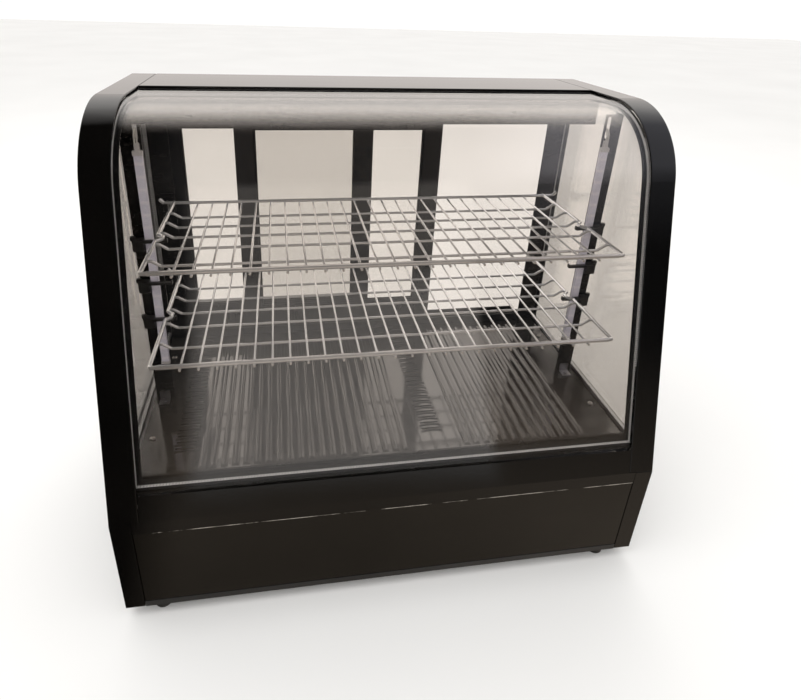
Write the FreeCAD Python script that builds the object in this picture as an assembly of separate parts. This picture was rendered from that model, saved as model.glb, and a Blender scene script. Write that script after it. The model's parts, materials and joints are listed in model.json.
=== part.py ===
import FreeCAD, Part
import math
import os

# Heated food display case: curved double-glazed front, glazed sides, two wire shelves,
# ribbed steel deck over the heater, and two sliding glass doors at the back.
# Working frame while building: x across, y from the front fold (0) towards the back,
# z up from the underside of the body. save() moves it so that the origin is under the
# middle of the case, on the surface that the feet stand on.

# ---------------------------------------------------------------- driving dimensions
WIDTH = 682.0
DEPTH = 386.0
HEIGHT = 595.5             # body without its feet
FOOT_H = 18.0
FOLD_Z = 143.7             # where the upright base front folds back into the leaning front
LEAN = math.radians(14.6)
CORNER_R = 110.0           # curve from the leaning front into the flat top
SHEET = 2.0
HALF_W = WIDTH / 2
CLOSE = 0.1                # gap between parts that sit against each other
SEAM = 0.5                 # gap at the seams between outer panels

BAND_W = 33.0              # curved steel band down each side of the front glass
FRAME_RIM = 16.0           # rim of the side frame round the side glass
SIDE_FRONT_W = 23.5        # front return of the base side panel
SIDE_BACK_W = 20.0         # rear return of the same panel
SKIRT_H = 8.5              # upturned front edge of the floor, below the access panel
ACCESS_TOP_Z = 125.5       # upper edge of the access panel

GLASS_BOTTOM_Z = 176.0
GLASS_TOP_Y = 262.0
GLASS_SINK = 3.0           # the front glass lies this far below the outer skin
GLASS_TUCK = 6.0           # how far it reaches under each steel band
OUTER_PANE = 4.0
PANE_GAP = 4.0
INNER_PANE = 3.0
CAVITY = GLASS_SINK + OUTER_PANE      # inset of the gap between the panes
UNIT_T = CAVITY + PANE_GAP + INNER_PANE
SPACER_W = 3.5
SPACER_EDGE = 1.0          # the spacer's distance from the panes' edge
FRIT_W = 11.0
FRIT_T = 0.4
TOP_PANEL_Y = 268.0
TOP_FOLD = 16.0            # depth of the top panel's front fold

SIDE_INNER_X = 326.0       # inner face of the side glass
SIDE_INNER_T = 3.5
SIDE_GAP = 5.0
SIDE_OUTER_T = 4.0
SIDE_SPACER_W = 6.0

DECK_Z = 160.0             # top face of the deck
DECK_FRONT_Y = 22.0
DECK_REAR_Y = 357.0
DECK_HALF_X = 325.0
RIB_PITCH = 13.8
RIB_W = 9.0
RIB_H = 2.4
RIB_FRONT_Y = 58.0
RIB_REAR_Y = 343.0
RIBS_LEFT_X = -243.0       # first rib of the wide group
RIBS_LEFT = 20
RIBS_RIGHT_X = 103.0       # first rib of the narrow group
RIBS_RIGHT = 13
LOUVRE_X = (-268.0, 62.0)
LOUVRE_W = 30.0
LOUVRE_PITCH = 11.5
LOUVRE_FRONT_Y = 90.0
LOUVRE_COUNT = 22
LOUVRE_SINK = 0.8          # how far the oblong round the air slots is pressed down

HEADER_Z = 546.0           # underside of the box that closes the top at the back
TRACK_Y = 358.0            # front face of the door tracks and rear posts
TRACK_WALL = 1.6
TRACK_BOTTOM_LIP = 174.0
TRACK_TOP_LIP = 534.0
POST_INNER_X = 296.0
POST_REAR_X = 313.0

DOOR_W = 324.0
DOOR_T = 10.0
DOOR_BOTTOM = 162.5
DOOR_TOP = 541.0
DOOR_STILE = 29.0
DOOR_WINDOW = (213.0, 520.0)
DOOR_GLASS_T = 4.0
DOOR_GROOVE = 8.0
DOOR_GLASS_BITE = 7.0
DOOR_CLOSED_X = 311.0      # outer edge of a closed door
DOOR_2_LEFT_X = -202.0     # where the right door's left edge stands at rest
DOOR_2_Y = TRACK_Y + SHEET + 0.6
DOOR_1_Y = DEPTH - SHEET - 0.6 - DOOR_T
PULL_W, PULL_H, PULL_D = 16.0, 80.0, 7.0
PULL_Z = 330.0
PULL_IN = 12.0             # centre of the pull from the door's edge
PULL_WALL = 1.2

UPRIGHT_X = 297.0
UPRIGHT_W = 25.0
UPRIGHT_Y = 200.0
UPRIGHT_D = 16.0
UPRIGHT_TOP = 574.0
LED_W, LED_T = 10.5, 5.0
LED_Z = (228.0, 524.0)

SHELF_Z = (303.2, 418.0)   # centre height of the lower and upper shelf's frame rods
SHELF_HALF_X = 292.0
SHELF_FRONT_Y = (76.0, 92.0)   # the upper shelf stops short of the leaning glass
SHELF_REAR_Y = 324.0
SHELF_TIP_X = 309.0
SHELF_KINK = 7.0           # inward kink of a side rod at the front upright
KINK_Y = (182.0, 188.0, 197.0, 204.0)
FRONT_ROD_R = 3.0
SIDE_ROD_R = 2.5
CROSS_R = 1.8
WIRE_R = 1.5
WELD = 0.4                 # how far crossing wires melt into each other
WIRE_PITCH = 21.5
WIRE_COUNT = 25
CROSS_Y = (124.0, 172.0, 208.0, 243.0, 279.0)

FAN_X, FAN_Y = 62.0, 190.0
FAN_SIZE = 120.0
FAN_T = 25.0
FAN_RING_R = 56.0
BLADE_R = 53.0
BLADES, BLADE_PITCH = 7, 50.0
HUB_R, HUB_H = 19.0, 12.0
MOTOR_R, MOTOR_L = 16.0, 10.0
FAN_SHAFT_L = 10.0
STRUT = 3.0                # half width and height of the struts
SHAFT_R = 3.0
RUNNING = 0.05             # radial clearance of a shaft in its bore

KNOB_X, KNOB_Z = 250.0, 88.0
KNOB_R, KNOB_L = 17.0, 16.0
KNOB_GAP = 1.0
KNOB_BORE = 11.0           # depth of the shaft's bore in the knob
SWITCH_X = (160.0, 200.0)
SWITCH_Z = 88.0
SWITCH_W, SWITCH_H = 19.0, 26.0
ROCKER_TILT = 10.0
ROCKER_AXIS_Y = DEPTH - 1.0
PIVOT_R = 1.2
LAMP_X = 222.0
LAMP_R = 4.5
GLAND_X, GLAND_Z = -280.0, 40.0
GLAND_BORE_R = 4.0
GLAND_THREAD_R = 7.9
GLAND_NUT_R, GLAND_NUT_H, GLAND_LOCK_H = 12.0, 6.0, 4.0

FOOT_X, FOOT_FRONT_Y, FOOT_REAR_Y = 300.0, 19.0, 366.0
FOOT_R = 13.0
FOOT_SCREW_R = 3.0
FOOT_HOLLOW_R, FOOT_HOLLOW = 6.5, 6.0

SCREW_R = 2.0              # panel and deck screws
SCREW_HOLE_R = 2.2
SCREW_HEAD_R, SCREW_HEAD_H, SCREW_L = 3.9, 2.2, 11.0
DECK_SCREWS_FRONT = ((-236.0, 0.0, 236.0), 40.0)      # x places, y
DECK_SCREWS_SIDE = (313.0, (118.0, 300.0))            # x, y places
REAR_SCREWS = (310.0, (20.0, 140.0))                  # x, z places

VENT_COLUMNS, VENT_ROWS = 4, 7
VENT_W, VENT_H = 46.0, 4.0
VENT_X, VENT_Z = -210.0, 52.0                         # centre of the first slot
VENT_STEP_X, VENT_STEP_Z = 62.0, 11.0

HEATER_Y = (110.0, 250.0)  # front leg of each hairpin element
HEATER_Z = 112.0
HEATER_ENDS = (-290.0, 275.0)
HEATER_R = 4.0
HEATER_SPREAD = 36.0       # distance between the two legs
SADDLE_X = (-230.0, -60.0, 215.0)
SADDLE_W = 16.0

TERMINAL_X, TERMINAL_Y = -250.0, 330.0
TERMINAL_PITCH, TERMINAL_COUNT = 12.0, 5
TERMINAL_D, TERMINAL_H, TERMINAL_WELL = 22.0, 18.0, 10.0
DRIVER_X, DRIVER_Y, DRIVER_H = (-160.0, -60.0), (322.0, 352.0), 22.0

BEARER_X = 306.0           # web of the angle that carries the deck's edge
SPARE_CLIP_Z = 358.0       # a spare pair of shelf clips between the two shelves

REAR_REACH = DEPTH + KNOB_GAP + KNOB_L
MIDDLE = FreeCAD.Vector(0, -REAR_REACH / 2, FOOT_H)

os.makedirs("parts", exist_ok=True)


# ---------------------------------------------------------------- helpers
def vec(x, y, z):
    return FreeCAD.Vector(x, y, z)


X_AXIS, Y_AXIS, Z_AXIS = vec(1, 0, 0), vec(0, 1, 0), vec(0, 0, 1)


def save(name, *shapes):
    """Moves the solids from the working frame into the part's frame and writes them."""
    solids = []
    for shape in shapes:
        solids.extend(shape.Solids)
    moved = []
    for solid in solids:
        copy = solid.copy()
        copy.translate(MIDDLE)
        moved.append(copy)
    out = moved[0] if len(moved) == 1 else Part.makeCompound(moved)
    out.exportStep("parts/" + name + ".step")


def box(x0, x1, y0, y1, z0, z1):
    return Part.makeBox(x1 - x0, y1 - y0, z1 - z0, vec(x0, y0, z0))


def cyl(x, y, z, radius, length, axis=Z_AXIS):
    return Part.makeCylinder(radius, length, vec(x, y, z), axis)


def fuse(*shapes):
    joined = shapes[0] if len(shapes) == 1 else shapes[0].multiFuse(list(shapes[1:]))
    return joined.removeSplitter()


def cut(shape, *tools):
    return shape.cut(Part.makeCompound(list(tools)))


def mirror(shape):
    """The same piece on the other side of the case."""
    return shape.mirror(vec(0, 0, 0), X_AXIS)


def extrude_x(points, x0, x1):
    """A prism with the given (y, z) outline."""
    corners = [vec(x0, y, z) for y, z in points]
    face = Part.Face(Part.makePolygon(corners + corners[:1]))
    return face.extrude(vec(x1 - x0, 0, 0))


def rod(points, radius, bend=0.0):
    """A round rod along straight runs, with an arc of radius bend at each inner corner."""
    pts = [vec(*p) for p in points]
    edges = []
    start = pts[0]
    for i in range(1, len(pts) - 1):
        before = (pts[i - 1] - pts[i]).normalize()
        after = (pts[i + 1] - pts[i]).normalize()
        half = before.getAngle(after) / 2
        reach = bend / math.tan(half)
        a, b = pts[i] + before * reach, pts[i] + after * reach
        centre = pts[i] + (before + after).normalize() * (bend / math.sin(half))
        middle = centre + (pts[i] - centre).normalize() * bend
        edges.append(Part.LineSegment(start, a).toShape())
        edges.append(Part.Arc(a, middle, b).toShape())
        start = b
    edges.append(Part.LineSegment(start, pts[-1]).toShape())
    path = Part.Wire(edges)
    ring = Part.Wire(Part.makeCircle(radius, pts[0], pts[1] - pts[0]))
    return path.makePipeShell([ring], True, False)


def shell_box(x0, x1, y0, y1, z0, z1, wall, open_side):
    """A thin-walled box with one side missing, named by its outward direction."""
    inner = {"x0": x0 + wall, "x1": x1 - wall, "y0": y0 + wall, "y1": y1 - wall,
             "z0": z0 + wall, "z1": z1 - wall}
    reach = {"-x": ("x0", x0), "+x": ("x1", x1), "-y": ("y0", y0),
             "+y": ("y1", y1), "-z": ("z0", z0), "+z": ("z1", z1)}
    key, value = reach[open_side]
    inner[key] = value
    hollow = box(inner["x0"], inner["x1"], inner["y0"], inner["y1"], inner["z0"], inner["z1"])
    return box(x0, x1, y0, y1, z0, z1).cut(hollow)


# ---------------------------------------------------------------- the case's side profile
ARC_Z = HEIGHT - CORNER_R
ARC_Y = (ARC_Z - FOLD_Z) * math.tan(LEAN) + CORNER_R / math.cos(LEAN)


def lean_y(z, inset):
    """y of the leaning front at height z, inset mm inside the outer skin."""
    return (z - FOLD_Z) * math.tan(LEAN) + inset / math.cos(LEAN)


def arc_point(angle, inset):
    """Point of the corner curve: angle 0 where it leaves the lean, 90 degrees minus LEAN at the top."""
    turn = math.pi - LEAN - angle
    radius = CORNER_R - inset
    return (ARC_Y + radius * math.cos(turn), ARC_Z + radius * math.sin(turn))


def skin_edges(x, inset, z_low, y_end, backwards=False):
    """Lean, corner curve and flat top as edges at x, from z_low to y_end."""
    sweep = math.pi / 2 - LEAN
    p = [(lean_y(z_low, inset), z_low), arc_point(0, inset), arc_point(sweep / 2, inset),
         arc_point(sweep, inset), (y_end, HEIGHT - inset)]
    q = [vec(x, y, z) for y, z in p]
    edges = [Part.LineSegment(q[0], q[1]).toShape(), Part.Arc(q[1], q[2], q[3]).toShape(),
             Part.LineSegment(q[3], q[4]).toShape()]
    return (edges[::-1] if backwards else edges), q[0], q[4]


def skin(x0, x1, inset0, inset1, z_low, y_end):
    """A curved sheet between two insets of the profile, from x0 to x1."""
    outer, outer_low, outer_end = skin_edges(x0, inset0, z_low, y_end)
    inner, inner_low, inner_end = skin_edges(x0, inset1, z_low, y_end, True)
    edges = outer + [Part.LineSegment(outer_end, inner_end).toShape()] + inner
    edges.append(Part.LineSegment(inner_low, outer_low).toShape())
    return Part.Face(Part.Wire(edges)).extrude(vec(x1 - x0, 0, 0))


def side_plate(x0, x1, inset, z_low, y_end):
    """A flat plate with the case's side outline."""
    edges, low, end = skin_edges(x0, inset, z_low, y_end)
    corner = vec(x0, y_end, z_low)
    edges.append(Part.LineSegment(end, corner).toShape())
    edges.append(Part.LineSegment(corner, low).toShape())
    return Part.Face(Part.Wire(edges)).extrude(vec(x1 - x0, 0, 0))


# ---------------------------------------------------------------- base
def base_floor():
    """Bottom tray with turned-up edges, air inlet slots under the fan and foot screw holes."""
    rim = 14.0
    tray = fuse(
        box(-HALF_W + SHEET, HALF_W - SHEET, SHEET + 1, DEPTH - SHEET, 0, SHEET),
        box(-HALF_W + SIDE_FRONT_W + SEAM, HALF_W - SIDE_FRONT_W - SEAM, 0, SHEET + 1, 0, SKIRT_H),
        box(-HALF_W + SHEET, -HALF_W + 2 * SHEET, SHEET + 1, DEPTH - SHEET, SHEET, rim),
        box(HALF_W - 2 * SHEET, HALF_W - SHEET, SHEET + 1, DEPTH - SHEET, SHEET, rim))
    slots = []
    slot_l, slot_w, slot_pitch = 70.0, 4.0, 11.0
    for i in range(-4, 5):
        y = FAN_Y + i * slot_pitch
        slots.append(box(FAN_X - slot_l / 2, FAN_X + slot_l / 2, y - slot_w / 2, y + slot_w / 2, 0, SHEET))
    for x, y in foot_places():
        slots.append(cyl(x, y, 0, FOOT_SCREW_R + 0.4, SHEET))
    return cut(tray, *slots)


def foot_places():
    return [(sx * FOOT_X, y) for sx in (-1, 1) for y in (FOOT_FRONT_Y, FOOT_REAR_Y)]


def feet():
    """Rubber feet, each with a hollow for its screw's head."""
    out = []
    for x, y in foot_places():
        body = Part.makeCone(FOOT_R - 2, FOOT_R, FOOT_H, vec(x, y, -FOOT_H))
        hollow = cyl(x, y, -FOOT_H, FOOT_HOLLOW_R, FOOT_HOLLOW)
        out.append(cut(body, hollow, cyl(x, y, -FOOT_H, FOOT_SCREW_R + 0.2, FOOT_H)))
    return out


def foot_screws():
    """Screws up through the feet and the floor, each with its nut."""
    head_h, nut_r, nut_h = 3.5, 5.0, 5.0
    out = []
    for x, y in foot_places():
        head = cyl(x, y, -FOOT_H + FOOT_HOLLOW - head_h, FOOT_HOLLOW_R - 1.0, head_h)
        shank = cyl(x, y, -FOOT_H + FOOT_HOLLOW, FOOT_SCREW_R, FOOT_H - FOOT_HOLLOW + SHEET)
        nut = cut(hexagon(x, y, SHEET, nut_r, nut_h), cyl(x, y, SHEET, FOOT_SCREW_R, nut_h))
        tip = cyl(x, y, SHEET, FOOT_SCREW_R, nut_h + 1.0)
        out.append(fuse(head, shank, nut, tip))
    return out


def hexagon(x, y, z, radius, height):
    corners = [vec(x + radius * math.cos(math.radians(60 * i)),
                   y + radius * math.sin(math.radians(60 * i)), z) for i in range(6)]
    return Part.Face(Part.makePolygon(corners + corners[:1])).extrude(vec(0, 0, height))


def base_side():
    """Right side panel of the base, with front and rear returns."""
    inner = HALF_W - SHEET
    return fuse(
        box(inner, HALF_W, 0, DEPTH, 0, FOLD_Z),
        box(HALF_W - SIDE_FRONT_W, inner, 0, SHEET, 0, FOLD_Z),
        box(HALF_W - SIDE_BACK_W, inner, DEPTH - SHEET, DEPTH, 0, FOLD_Z))


def front_panel():
    """Access panel let into the base front, a little below the surface, with folded edges."""
    x = HALF_W - SIDE_FRONT_W - SEAM
    recess, low, high, fold = 0.6, SKIRT_H + SEAM, ACCESS_TOP_Z, 12.0
    face = box(-x, x, recess, recess + SHEET, low, high)
    hem_low = box(-x, x, recess + SHEET, recess + fold, low, low + SHEET)
    hem_high = box(-x, x, recess + SHEET, recess + fold, high - SHEET, high)
    return fuse(face, hem_low, hem_high)


def front_rail():
    """Folded rail over the access panel: upright, then leaning with the front glass."""
    low = ACCESS_TOP_Z + 0.7
    wide = HALF_W - SIDE_FRONT_W - SEAM
    narrow = HALF_W - BAND_W - SEAM
    top = GLASS_BOTTOM_Z - 0.6
    upright = box(-wide, wide, 0, SHEET, low, FOLD_Z)
    leaning = extrude_x([(0, FOLD_Z), (lean_y(top, 0), top), (lean_y(top, SHEET), top),
                         (SHEET, FOLD_Z)], -narrow, narrow)
    ledge = box(-wide, wide, SHEET, 16.0, low, low + SHEET)
    return fuse(upright, leaning, ledge)


def rear_panel():
    """Back of the base, with the control cut-outs and a field of air slots."""
    x = HALF_W - SIDE_BACK_W - SEAM
    plate = box(-x, x, DEPTH - SHEET, DEPTH, SHEET, DECK_Z - SHEET)
    holes = [cyl(KNOB_X, DEPTH - SHEET, KNOB_Z, SHAFT_R + 2, SHEET, Y_AXIS),
             cyl(LAMP_X, DEPTH - SHEET, KNOB_Z, LAMP_R, SHEET, Y_AXIS),
             cyl(GLAND_X, DEPTH - SHEET, GLAND_Z, GLAND_THREAD_R + CLOSE, SHEET, Y_AXIS)]
    for sx in SWITCH_X:
        holes.append(box(sx - SWITCH_W / 2, sx + SWITCH_W / 2, DEPTH - SHEET, DEPTH,
                         SWITCH_Z - SWITCH_H / 2, SWITCH_Z + SWITCH_H / 2))
    for column in range(VENT_COLUMNS):
        for row in range(VENT_ROWS):
            cx, cz = VENT_X + column * VENT_STEP_X, VENT_Z + row * VENT_STEP_Z
            holes.append(box(cx - VENT_W / 2, cx + VENT_W / 2, DEPTH - SHEET, DEPTH,
                             cz - VENT_H / 2, cz + VENT_H / 2))
    for sx, sz in rear_screw_places():
        holes.append(cyl(sx, DEPTH - SHEET, sz, SCREW_HOLE_R, SHEET, Y_AXIS))
    return cut(plate, *holes)


def rear_screw_places():
    x, heights = REAR_SCREWS
    return [(sx * x, z) for sx in (-1, 1) for z in heights]


def rear_screws():
    out = []
    for x, z in rear_screw_places():
        head = cyl(x, DEPTH, z, SCREW_HEAD_R, SCREW_HEAD_H, Y_AXIS)
        shank = cyl(x, DEPTH - SCREW_L, z, SCREW_R, SCREW_L, Y_AXIS)
        out.append(fuse(head, shank))
    return out


def rear_sill():
    """Folded sill that carries the lower door track at the back of the deck."""
    wide, narrow, front = DECK_HALF_X - 1, DECK_HALF_X - 6, DECK_REAR_Y + SEAM
    under = DECK_Z - SHEET
    return fuse(box(-wide, wide, front, DEPTH - SHEET, under, DECK_Z),
                box(-narrow, narrow, front, front + SHEET, DECK_Z - 24, under))


def deck_bearer():
    """Right-hand angle under the deck's side edge."""
    outer, front, low = HALF_W - 2 * SHEET - SEAM, DECK_FRONT_Y + SHEET, FOLD_Z - 2 * SHEET
    return fuse(
        box(outer, HALF_W - SHEET, front - 4, DEPTH - 6, low - 24, low + SHEET),
        box(BEARER_X, outer, front, DECK_REAR_Y, low, low + SHEET),
        box(BEARER_X, BEARER_X + SHEET, front, DECK_REAR_Y, low + SHEET, DECK_Z - SHEET))


# ---------------------------------------------------------------- deck
def segment_bar(length, chord, height):
    """A low bar with a round top, lying along +X from the origin, resting on z = 0."""
    left, right = vec(0, -chord / 2, 0), vec(0, chord / 2, 0)
    top = Part.Arc(left, vec(0, 0, height), right).toShape()
    face = Part.Face(Part.Wire([top, Part.LineSegment(right, left).toShape()]))
    return face.extrude(vec(length, 0, 0))


def rib(x):
    """One pressed rib: a round-topped bar with sloping ends."""
    length = RIB_REAR_Y - RIB_FRONT_Y
    bar = segment_bar(length, RIB_W, RIB_H)
    bar.rotate(vec(0, 0, 0), Z_AXIS, 90)
    slope = RIB_H * 1.1
    ends = extrude_x([(0, 0), (length, 0), (length - slope, RIB_H), (slope, RIB_H)], -RIB_W, RIB_W)
    shape = bar.common(ends)
    shape.translate(vec(x, RIB_FRONT_Y, DECK_Z - 0.01))
    return shape


def oblong(cx):
    """The shallow pressing round one column of air slots, as a cutter."""
    low = DECK_Z - LOUVRE_SINK
    margin = 2.0
    y0 = LOUVRE_FRONT_Y - margin
    y1 = LOUVRE_FRONT_Y + (LOUVRE_COUNT - 1) * LOUVRE_PITCH + margin
    half = LOUVRE_W / 2
    return fuse(box(cx - half, cx + half, y0, y1, low, DECK_Z),
                cyl(cx, y0, low, half, LOUVRE_SINK), cyl(cx, y1, low, half, LOUVRE_SINK))


def slat(cx, y):
    """A curved bead across the pressing, at the edge of one air slot."""
    half, bulge, radius = LOUVRE_W / 2 - 0.5, 2.5, 1.4
    z = DECK_Z - LOUVRE_SINK + 0.3
    path = Part.Arc(vec(cx - half, y, z), vec(cx, y + bulge, z), vec(cx + half, y, z)).toShape()
    ring = Part.Wire(Part.makeCircle(radius, vec(cx - half, y, z), path.tangentAt(path.FirstParameter)))
    return Part.Wire([path]).makePipeShell([ring], True, False)


def rib_places():
    left = [RIBS_LEFT_X + i * RIB_PITCH for i in range(RIBS_LEFT)]
    right = [RIBS_RIGHT_X + i * RIB_PITCH for i in range(RIBS_RIGHT)]
    return left + right


def deck():
    """Pressed plate: front-to-back ribs and two columns of hooded air slots."""
    plate = box(-DECK_HALF_X, DECK_HALF_X, DECK_FRONT_Y, DECK_REAR_Y, DECK_Z - SHEET, DECK_Z)
    lip = box(-DECK_HALF_X, DECK_HALF_X, DECK_FRONT_Y, DECK_FRONT_Y + SHEET, DECK_Z - 12, DECK_Z - SHEET)
    added, removed = [lip], []
    for x in rib_places():
        added.append(rib(x))
    for cx in LOUVRE_X:
        removed.append(oblong(cx))
        for i in range(LOUVRE_COUNT):
            y = LOUVRE_FRONT_Y + i * LOUVRE_PITCH
            added.append(slat(cx, y))
            slot_y, slot_d, slot_half = y + 4.5, 3.0, LOUVRE_W / 2 - 2
            if i < LOUVRE_COUNT - 1:
                removed.append(box(cx - slot_half, cx + slot_half, slot_y, slot_y + slot_d,
                                   DECK_Z - SHEET, DECK_Z))
    for x, y in deck_screw_places():
        removed.append(cyl(x, y, DECK_Z - SHEET, SCREW_HOLE_R, SHEET))
    return cut(plate, *removed).multiFuse(added).removeSplitter()


def deck_screw_places():
    front_xs, front_y = DECK_SCREWS_FRONT
    side_x, side_ys = DECK_SCREWS_SIDE
    front = [(x, front_y) for x in front_xs]
    sides = [(sx * side_x, y) for sx in (-1, 1) for y in side_ys]
    return front + sides


def deck_screws():
    out = []
    for x, y in deck_screw_places():
        head = cyl(x, y, DECK_Z, SCREW_HEAD_R, SCREW_HEAD_H)
        shank = cyl(x, y, DECK_Z - SCREW_L, SCREW_R, SCREW_L)
        out.append(fuse(head, shank))
    return out


# ---------------------------------------------------------------- glazing
def side_frame():
    """Right side frame: a flat rim round the side glass and the curved front and top band."""
    plate = side_plate(HALF_W - SHEET, HALF_W, 0, FOLD_Z, DEPTH)
    window = side_plate(HALF_W - SHEET, HALF_W, FRAME_RIM, FOLD_Z + 14.5, DEPTH - FRAME_RIM)
    band = skin(HALF_W - BAND_W, HALF_W - SHEET, 0, SHEET, FOLD_Z, DEPTH)
    inside = HALF_W - SHEET
    rear_return = box(SIDE_INNER_X + 0.2, inside, DEPTH - SHEET, DEPTH, FOLD_Z, HEADER_Z - 0.2)
    rear_tab = box(HALF_W - SIDE_BACK_W, inside, DEPTH - SHEET, DEPTH, FOLD_Z, DECK_Z - SHEET)
    return fuse(plate.cut(window), band, rear_return, rear_tab)


def side_pane(x, thick):
    """One pane of the right side glass, a little inside the frame's outline."""
    edge = 3.0
    return side_plate(x, x + thick, edge, FOLD_Z + SHEET, DEPTH - edge)


def side_panes():
    outer_x = SIDE_INNER_X + SIDE_INNER_T + SIDE_GAP
    return [side_pane(SIDE_INNER_X, SIDE_INNER_T), side_pane(outer_x, SIDE_OUTER_T)]


def side_spacer():
    """Hollow-bar spacer between the side panes, drawn as one bar frame."""
    x = SIDE_INNER_X + SIDE_INNER_T
    edge = 9.0
    outer = side_plate(x, x + SIDE_GAP, edge, DECK_Z - 2.0, DEPTH - edge)
    inner = side_plate(x, x + SIDE_GAP, edge + SIDE_SPACER_W, DECK_Z - 2.0 + SIDE_SPACER_W,
                       DEPTH - edge - SIDE_SPACER_W)
    return outer.cut(inner)


GLASS_X = HALF_W - BAND_W + GLASS_TUCK


def front_glass_outer():
    return skin(-GLASS_X, GLASS_X, GLASS_SINK, CAVITY, GLASS_BOTTOM_Z, GLASS_TOP_Y)


def front_glass_inner():
    return skin(-GLASS_X, GLASS_X, CAVITY + PANE_GAP, UNIT_T, GLASS_BOTTOM_Z, GLASS_TOP_Y)


def pane_border(width, inset0, inset1, edge):
    """A closed strip round the front glass, width wide, edge mm in from the glass edge."""
    x = GLASS_X - edge
    low = GLASS_BOTTOM_Z + edge * math.cos(LEAN)
    hole_low = low + width * math.cos(LEAN)
    end = GLASS_TOP_Y - edge
    whole = skin(-x, x, inset0, inset1, low, end)
    hole = skin(-x + width, x - width, inset0 - 1, inset1 + 1, hole_low, end - width)
    return whole.cut(hole)


def front_spacer():
    """Perforated aluminium spacer bar between the two front panes."""
    return pane_border(SPACER_W, CAVITY, CAVITY + PANE_GAP, SPACER_EDGE)


def front_frit():
    """Black printed border on the cavity side of the inner front pane."""
    inset = CAVITY + PANE_GAP
    beside_spacer = SPACER_EDGE + SPACER_W + CLOSE
    return pane_border(FRIT_W - beside_spacer, inset - FRIT_T, inset, beside_spacer)


def glass_channel():
    """Black channel that holds the lower edge of the front glass."""
    low, shelf, wall_top = GLASS_BOTTOM_Z - 12.0, GLASS_BOTTOM_Z - 0.4, GLASS_BOTTOM_Z + 11.0
    front, inner = SHEET + 0.2, UNIT_T + 0.3
    back = inner + 2.9
    seat = extrude_x([(lean_y(low, front), low), (lean_y(shelf, front), shelf),
                      (lean_y(shelf, back), shelf), (lean_y(low, back), low)], -GLASS_X, GLASS_X)
    wall = extrude_x([(lean_y(shelf, inner), shelf), (lean_y(wall_top, inner), wall_top),
                      (lean_y(wall_top, back), wall_top), (lean_y(shelf, back), shelf)],
                     -GLASS_X, GLASS_X)
    return fuse(seat, wall)


def top_seal():
    """Rubber strip between the top edge of the glass and the top panel."""
    x = HALF_W - BAND_W
    return box(-x, x, GLASS_TOP_Y, TOP_PANEL_Y, HEIGHT - UNIT_T, HEIGHT - GLASS_SINK - 0.5)


def top_panel():
    """Flat top at the back, folded down at its front and rear edges."""
    x = HALF_W - BAND_W
    wide = HALF_W - SHEET
    return fuse(
        box(-x, x, TOP_PANEL_Y, DEPTH, HEIGHT - SHEET, HEIGHT),
        box(-wide, wide, DEPTH - SHEET, DEPTH, HEADER_Z, HEIGHT - SHEET),
        box(-x, x, TOP_PANEL_Y, TOP_PANEL_Y + SHEET, HEIGHT - TOP_FOLD, HEIGHT - SHEET))


def header_cover():
    """Removable cover that closes the top box from below."""
    x = SIDE_INNER_X - 0.3
    front = TOP_PANEL_Y + SHEET
    return fuse(
        box(-x, x, front, DEPTH - SHEET, HEADER_Z, HEADER_Z + SHEET),
        box(-x, x, front, front + SHEET, HEADER_Z + SHEET, HEIGHT - SHEET - 0.5))


# ---------------------------------------------------------------- back: posts, tracks, doors
def rear_post():
    """Right post: a channel that the door's edge runs into."""
    web = box(SIDE_INNER_X - SHEET, SIDE_INNER_X, TRACK_Y, DEPTH, DECK_Z, HEADER_Z - 0.2)
    front = box(POST_INNER_X, SIDE_INNER_X - SHEET, TRACK_Y, TRACK_Y + SHEET, DECK_Z, HEADER_Z - 0.2)
    back = box(POST_REAR_X, SIDE_INNER_X - SHEET, DEPTH - SHEET, DEPTH, DECK_Z, HEADER_Z - 0.2)
    return fuse(web, front, back)


def track(web_z0, web_z1, wall_z0, wall_z1):
    """Two-groove door track between the posts."""
    x = POST_INNER_X - 0.5
    middle = (TRACK_Y + DEPTH) / 2
    return fuse(
        box(-x, x, TRACK_Y, DEPTH, web_z0, web_z1),
        box(-x, x, TRACK_Y, TRACK_Y + SHEET, wall_z0, wall_z1),
        box(-x, x, middle - TRACK_WALL / 2, middle + TRACK_WALL / 2, wall_z0, wall_z1),
        box(-x, x, DEPTH - SHEET, DEPTH, wall_z0, wall_z1))


def door_frame(left, y, pull_x):
    """Black door frame with a glazing groove and a pocket for the finger pull."""
    whole = box(left, left + DOOR_W, y, y + DOOR_T, DOOR_BOTTOM, DOOR_TOP)
    low, high = DOOR_WINDOW
    window = box(left + DOOR_STILE, left + DOOR_W - DOOR_STILE, y, y + DOOR_T, low, high)
    mid = y + DOOR_T / 2
    groove_t = DOOR_GLASS_T + 0.4
    groove = box(left + DOOR_STILE - DOOR_GROOVE, left + DOOR_W - DOOR_STILE + DOOR_GROOVE,
                 mid - groove_t / 2, mid + groove_t / 2, low - DOOR_GROOVE, high + DOOR_GROOVE)
    pocket = box(pull_x - PULL_W / 2, pull_x + PULL_W / 2, y + DOOR_T - PULL_D, y + DOOR_T,
                 PULL_Z - PULL_H / 2, PULL_Z + PULL_H / 2)
    return cut(whole, window, groove, pocket)


def door_glass(left, y):
    low, high = DOOR_WINDOW
    mid = y + DOOR_T / 2
    return box(left + DOOR_STILE - DOOR_GLASS_BITE, left + DOOR_W - DOOR_STILE + DOOR_GLASS_BITE,
               mid - DOOR_GLASS_T / 2, mid + DOOR_GLASS_T / 2, low - DOOR_GLASS_BITE, high + DOOR_GLASS_BITE)


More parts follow.
